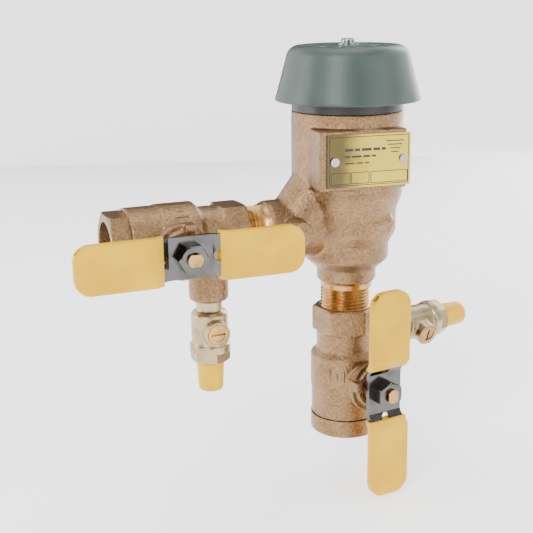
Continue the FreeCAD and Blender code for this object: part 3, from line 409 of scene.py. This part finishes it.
def cut_off(piece: bpy.types.Object, at: Point, toward: Point) -> None:
    """Cut away all that lies past a plane and close the cut.

    Args:
        piece: The object.
        at: A point of the plane.
        toward: The side that goes.
    """
    pick(piece)
    bpy.ops.object.mode_set(mode="EDIT")
    bpy.ops.mesh.select_all(action="SELECT")
    bpy.ops.mesh.bisect(plane_co=at, plane_no=toward, use_fill=True, clear_outer=True)
    bpy.ops.object.mode_set(mode="OBJECT")


def shade(piece: bpy.types.Object, degrees: float) -> None:
    """Smooth shading that keeps edges sharper than an angle."""
    pick(piece)
    bpy.ops.object.shade_smooth_by_angle(angle=math.radians(degrees))


class Workshop:
    """Materials by slot, and the bodies that nodes ride on."""

    def __init__(self) -> None:
        """Paint every slot's material once."""
        self.materials = {slot: finish.paint() for slot, finish in FINISHES.items()}
        bodies = frame["record"]["behaviour"]["bodies"]
        self.body_of = {node: body for body, nodes in bodies.items() for node in nodes}
        self.slot_of = {part["node"]: part["material_slot"]
                        for part in frame["record"]["subparts"]}

    def dress_frame(self) -> None:
        """Give every CAD node its finish."""
        for node, thing in frame["nodes"].items():
            for place in thing.material_slots:
                place.material = self.materials[self.slot_of[node]]

    def hang(self, piece: bpy.types.Object, body: str, slot: str,
             *replaced: str) -> bpy.types.Object:
        """Fix a new piece to its body and give it its finish.

        Args:
            piece: The new piece.
            body: The body that it moves with.
            slot: The record's slot for its material.
            replaced: CAD nodes that it stands for.

        Returns:
            The piece.
        """
        piece.data.materials.clear()
        piece.data.materials.append(self.materials[slot])
        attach(piece, body)
        if replaced:
            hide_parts(*replaced)
        LOG.info("%s rides on %s", piece.name, body)
        return piece


# ---------------------------------------------------------------- sub-assemblies

@dataclass
class SoftSkin:
    """A cast or dipped piece whose corners are rounded off as the real process leaves them."""

    node: str
    name: str
    voxel: float
    passes: int
    factor: float = 0.5

    def build(self, shop: Workshop) -> bpy.types.Object:
        """Round the CAD solid over and hang it in its place."""
        piece = copied(self.node, self.name)
        self.soften(piece)
        return shop.hang(piece, shop.body_of[self.node], shop.slot_of[self.node], self.node)

    def soften(self, piece: bpy.types.Object) -> None:
        """Remesh and smooth a closed shape."""
        apply_modifier(piece, "REMESH", mode="VOXEL", voxel_size=self.voxel,
                       use_smooth_shade=True)
        apply_modifier(piece, "SMOOTH", factor=self.factor, iterations=self.passes)
        shade(piece, 60)


@dataclass
class CastBody:
    """The riser casting with its two threaded spigots."""

    thread_end: float = 83.0 * MM
    branch_end: float = -47.2 * MM
    lap: float = 0.6 * MM
    crisp: float = 35.0
    voxel: float = 0.75 * MM
    passes: int = 5

    def build(self, shop: Workshop) -> None:
        """Build the softened casting and the crisp spigots."""
        casting = copied("valve_body", "body_casting")
        cut_off(casting, (0, 0, self.thread_end), (0, 0, -1))
        cut_off(casting, (self.branch_end, 0, 0), (-1, 0, 0))
        SoftSkin("valve_body", "body_casting", self.voxel, self.passes).soften(casting)
        shop.hang(casting, "body", "cast_bronze", "valve_body")
        lower = copied("valve_body", "lower_spigot")
        cut_off(lower, (0, 0, self.thread_end + self.lap), (0, 0, 1))
        outer = copied("valve_body", "outlet_spigot")
        cut_off(outer, (self.branch_end + self.lap, 0, 0), (1, 0, 0))
        for spigot in (lower, outer):
            shade(spigot, self.crisp)
            shop.hang(spigot, "body", "machined_brass")


def build_soft_pieces(shop: Workshop) -> None:
    """Round off the valves' castings, the grips and the caps."""
    for side in ("inlet", "outlet"):
        for node, name, voxel, passes in (
                ("valve_case", "case_casting", 0.6 * MM, 4),
                ("grip_inner", "grip_near", 0.45 * MM, 8),
                ("grip_outer", "grip_far", 0.45 * MM, 8),
                ("cock_cap", "cap_dip", 0.35 * MM, 5),
                ("cock_body", "cock_casting", 0.4 * MM, 3)):
            SoftSkin(f"{side}_{node}", f"{side}_{name}", voxel, passes).build(shop)
    SoftSkin("canopy", "canopy_shell", 0.6 * MM, 2).build(shop)


class Solid(Enum):
    """The starting shape of a small piece."""

    SHEET = "sheet"
    BLOCK = "block"


def small(kind: Solid, place: Matrix) -> bpy.types.Object:
    """Add a unit sheet or block and press it into its place.

    Args:
        kind: The starting shape.
        place: Where it goes, with its size.

    Returns:
        The new object.
    """
    clear_selection()
    if kind is Solid.SHEET:
        bpy.ops.mesh.primitive_plane_add(size=1)
    else:
        bpy.ops.mesh.primitive_cube_add(size=1)
    piece = bpy.context.object
    piece.data.transform(place)
    return piece


def joined(pieces: list[bpy.types.Object], name: str) -> bpy.types.Object:
    """Join pieces into one object."""
    clear_selection()
    for piece in pieces:
        piece.select_set(True)
    bpy.context.view_layer.objects.active = pieces[0]
    bpy.ops.object.join()
    pieces[0].name = name
    return pieces[0]


@dataclass
class PlatePrint:
    """Plain dark boxes, rules and dashes on the nameplate."""

    turn: float = -6.0
    face: float = 30.0 * MM
    height: float = 149.8 * MM
    rule: float = 0.35
    ink: float = 0.06 * MM

    def bars(self) -> list[tuple[float, float, float, float]]:
        """Middle, width and height of each bar on the plate, in millimetres."""
        found = []
        for x, z, wide, tall in ((0, 0, 40.6, 23.4), (-14.6, -8.2, 9.6, 5.4),
                                 (-4.6, -8.2, 9.0, 5.4), (10.4, -8.2, 19.0, 5.4)):
            found += [(x, z + end * tall / 2, wide, self.rule) for end in (-1, 1)]
            found += [(x + end * wide / 2, z, self.rule, tall) for end in (-1, 1)]
        for row in range(3):
            across = -12.5
            for length in (4.2, 2.6, 5.0, 3.4)[row:] + (2.2,):
                found.append((across + length / 2, 5.4 - 3.2 * row, length, 1.3 - 0.3 * row))
                across += length + 0.9
        found += [(13.2, 9.0 - 1.8 * row, 9.0 - 1.6 * row, 0.5) for row in range(4)]
        return found

    def build(self, shop: Workshop) -> None:
        """Lay the ink on the plate."""
        spin = Matrix.Rotation(math.radians(self.turn), 4, "Z")
        out = Matrix.Translation((0, -self.face - self.ink / 2, self.height))
        sheets = [small(Solid.SHEET, spin @ out
                        @ Matrix.Translation((x * MM, 0, z * MM))
                        @ Matrix.Rotation(math.pi / 2, 4, "X")
                        @ Matrix.Diagonal((wide * MM, tall * MM, 1, 1)))
                  for x, z, wide, tall in self.bars()]
        ink = joined(sheets, "plate_print")
        apply_modifier(ink, "SOLIDIFY", thickness=self.ink, offset=0)
        shop.hang(ink, "body", "black_polymer")


@dataclass
class BandMarks:
    """Plain raised casting marks on a valve's band."""

    name: str
    place: Matrix
    angles: tuple[float, ...]
    radius: float = 18.45 * MM
    middle: float = 34.4 * MM

    def build(self, shop: Workshop) -> None:
        """Raise the marks on the band."""
        marks = []
        for count, angle in enumerate(self.angles):
            wide = (7.5, 4.0, 6.0, 3.0)[count % 4] * MM
            block = small(Solid.BLOCK, self.place
                          @ Matrix.Rotation(math.radians(angle), 4, "Z")
                          @ Matrix.Translation((self.radius, 0, self.middle))
                          @ Matrix.Diagonal((0.9 * MM, 1.5 * MM, wide, 1)))
            apply_modifier(block, "BEVEL", width=0.35 * MM, segments=3)
            marks.append(block)
        piece = joined(marks, self.name)
        shade(piece, 60)
        shop.hang(piece, "body", "cast_bronze")


def build_marks(shop: Workshop) -> None:
    """Put the plain marks on the plate and the two valves."""
    PlatePrint().build(shop)
    outlet = Matrix.Translation((-0.127, 0, 0.113)) @ Matrix.Rotation(math.pi / 2, 4, "Y")
    BandMarks("outlet_band_marks", outlet, (196, 208, 220, 232, 244)).build(shop)
    inlet = Matrix.Rotation(math.radians(8.5), 4, "Z")
    BandMarks("inlet_band_marks", inlet, (208, 220, 232, 244)).build(shop)


# ---------------------------------------------------------------- setting

@dataclass
class Setting:
    """Floor, soft lights and the camera."""

    eye: Point = (-0.23692, -0.46714, 0.23044)
    look_at: Point = (-0.03454, 0.02542, 0.08705)
    roll: float = -0.69
    lens: float = 69.9
    room: float = 4.0
    curve: float = 0.4
    curve_steps: int = 12
    gap: float = 0.002
    near: float = 0.01
    glow: float = 0.9
    surround: float = 0.75

    def build(self) -> None:
        """Build the whole setting."""
        self.floor()
        self.lights()
        self.flags()
        self.camera()
        self.sky()

    def floor(self) -> None:
        """A plain pale floor below the lowest point, curving up into pale walls."""
        clear_selection()
        low = CAD_BOX[0][2] - self.gap
        bpy.ops.mesh.primitive_cylinder_add(vertices=128, radius=self.room, depth=self.room,
                                            end_fill_type="NGON")
        ground = bpy.context.object
        ground.name = "floor"
        ground.data.transform(Matrix.Translation((0, 0, low + self.room / 2)))
        pick(ground)
        bpy.ops.object.mode_set(mode="EDIT")
        top = low + self.room - self.near
        select_where(ground, "FACE", lambda face: face.calc_center_median().z > top)
        bpy.ops.mesh.delete(type="FACE")
        bpy.ops.mesh.select_all(action="SELECT")
        bpy.ops.mesh.flip_normals()
        select_where(ground, "EDGE", lambda edge: all(
            abs(end.co.z - low) < self.near / 10 for end in edge.verts))
        bpy.ops.mesh.bevel(offset=self.room * self.curve, segments=self.curve_steps)
        bpy.ops.object.mode_set(mode="OBJECT")
        shade(ground, 30)
        work = Paint("pale_floor")
        work.set("Base Color", (0.9, 0.9, 0.9, 1))
        work.set("Roughness", 0.9)
        work.set("Emission Color", (1, 1, 1, 1))
        work.set("Emission Strength", self.glow)
        ground.data.materials.append(work.material)

    def lights(self) -> None:
        """Large soft lamps around the object."""
        middle = Vector((-0.04, 0.0, 0.09))
        for name, spot, wide, tall, power in (
                ("key", (-0.9, -0.9, 0.9), 0.5, 0.9, 19),
                ("fill", (0.95, -0.7, 0.35), 0.35, 1.0, 11),
                ("top", (0.0, 0.1, 1.3), 0.9, 0.9, 9),
                ("left_edge", (-1.1, 0.35, 0.3), 0.35, 1.0, 7),
                ("right_edge", (0.9, 0.6, 0.4), 0.35, 1.0, 7)):
            data = bpy.data.lights.new(name, "AREA")
            data.shape, data.size, data.size_y, data.energy = "RECTANGLE", wide, tall, power
            lamp = bpy.data.objects.new(name, data)
            bpy.context.scene.collection.objects.link(lamp)
            lamp.location = spot
            lamp.rotation_euler = (middle - Vector(spot)).to_track_quat("-Z", "Y").to_euler()

    def flags(self) -> None:
        """Black cards, out of sight, that give round metal its dark middle."""
        work = Paint("black_card")
        work.set("Base Color", (0.01, 0.01, 0.01, 1))
        work.set("Roughness", 1.0)
        middle = Vector(self.look_at)
        for name, spot, wide, tall in (("card_front", (-0.42, -1.05, 0.25), 0.85, 1.7),
                                       ("card_below", (-0.25, -0.85, -0.55), 1.3, 0.9),
                                       ("card_right", (0.62, -0.42, 0.05), 0.38, 1.2),
                                       ("card_left", (-0.85, -0.15, 0.10), 0.38, 1.1),
                                       ("card_back", (0.25, 0.95, 0.30), 0.7, 1.2)):
            clear_selection()
            bpy.ops.mesh.primitive_plane_add(size=1)
            card = bpy.context.object
            card.name = name
            turn = (middle - Vector(spot)).to_track_quat("Z", "Y").to_matrix().to_4x4()
            card.data.transform(Matrix.Translation(spot) @ turn
                                @ Matrix.Diagonal((wide, tall, 1, 1)))
            card.data.materials.append(work.material)
            card.visible_camera = False
            card.visible_shadow = False

    def camera(self) -> None:
        """The camera."""
        data = bpy.data.cameras.new("camera")
        data.lens, data.sensor_width = self.lens, 36
        eye = bpy.data.objects.new("camera", data)
        bpy.context.scene.collection.objects.link(eye)
        line = Vector(self.look_at) - Vector(self.eye)
        turn = line.to_track_quat("-Z", "Y").to_matrix().to_4x4()
        eye.matrix_world = (Matrix.Translation(self.eye) @ turn
                            @ Matrix.Rotation(math.radians(self.roll), 4, "Z"))
        bpy.context.scene.camera = eye

    def sky(self) -> None:
        """An even white surround."""
        world = bpy.data.worlds.new("surround")
        bpy.context.scene.world = world
        world.use_nodes = True
        ground = world.node_tree.nodes["Background"]
        ground.inputs[0].default_value = (1, 1, 1, 1)
        ground.inputs[1].default_value = self.surround


def main() -> None:
    """Build the finished object in its setting."""
    logging.basicConfig(level=logging.INFO, format="%(name)s: %(message)s")
    shop = Workshop()
    shop.dress_frame()
    CastBody().build(shop)
    build_soft_pieces(shop)
    build_marks(shop)
    Setting().build()


if __name__ == "__main__":
    main()
